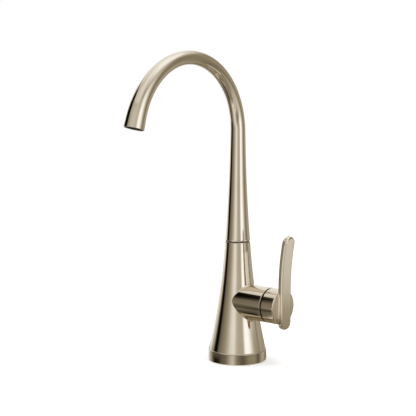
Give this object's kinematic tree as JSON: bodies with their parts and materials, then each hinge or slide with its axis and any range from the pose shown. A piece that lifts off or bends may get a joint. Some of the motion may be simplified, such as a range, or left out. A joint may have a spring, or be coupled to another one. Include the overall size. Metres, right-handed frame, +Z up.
{
  "type": "cold beverage faucet",
  "caption": "Cold beverage faucet in warm polished nickel: a trumpet body on a base ring, a swivelling gooseneck spout and a side lever that opens a ceramic disc valve.",
  "frame": {"origin": "centre of the deck hole, on the surface of the deck that the base ring stands on", "axes": "+Z is up out of the deck, +X points from the body along the valve hub and the lever axis, and the spout reaches toward -Y at rest"},
  "size_m": [0.0851, 0.167, 0.3581],
  "materials": {
    "polished_nickel": "polished warm nickel plate on brass",
    "brushed_nickel": "nickel plate on brass, turned and finely brushed",
    "brass": "turned brass, unplated",
    "stainless_steel": "bright stainless steel",
    "rubber": "black seal rubber",
    "black_acetal": "black moulded acetal, satin",
    "ceramic": "lapped white alumina"
  },
  "bodies": {
    "faucet_body": {"base_ring": "brushed_nickel", "base_gasket": "rubber", "body_shell": "polished_nickel", "valve_body": "brass", "cartridge_sleeve": "brass", "cartridge_nut": "brass", "seat_seal": "rubber", "fixed_disc": "ceramic", "cartridge_seal": "rubber", "guide_ring": "black_acetal", "outlet_spigot": "brass", "spigot_seals": "rubber", "swivel_ring": "black_acetal", "spout_clip": "stainless_steel", "mounting_shank": "brass", "rubber_washer": "rubber", "metal_washer": "stainless_steel", "mounting_nut": "brass", "inlet_tube": "brass", "inlet_seal": "rubber", "inlet_fitting": "brass"},
    "spout": {"spout_tube": "polished_nickel", "spout_bush": "brass", "flow_straightener": "black_acetal", "outlet_screen": "stainless_steel", "outlet_seal": "rubber"},
    "handle": {"lever_handle": "polished_nickel", "valve_stem": "brass", "moving_disc": "ceramic", "stem_seals": "rubber", "handle_set_screw": "stainless_steel"}
  },
  "joints": [
    {"name": "spout_swivel", "type": "hinge", "parent": "faucet_body", "child": "spout", "pos_m": [0, 0, 0.1072], "axis": [0, 0, 1], "continuous": true},
    {"name": "handle_turn", "type": "hinge", "parent": "faucet_body", "child": "handle", "pos_m": [0.0446, 0, 0.0537], "axis": [1, 0, 0], "range_deg": [0, 90]}
  ]
}
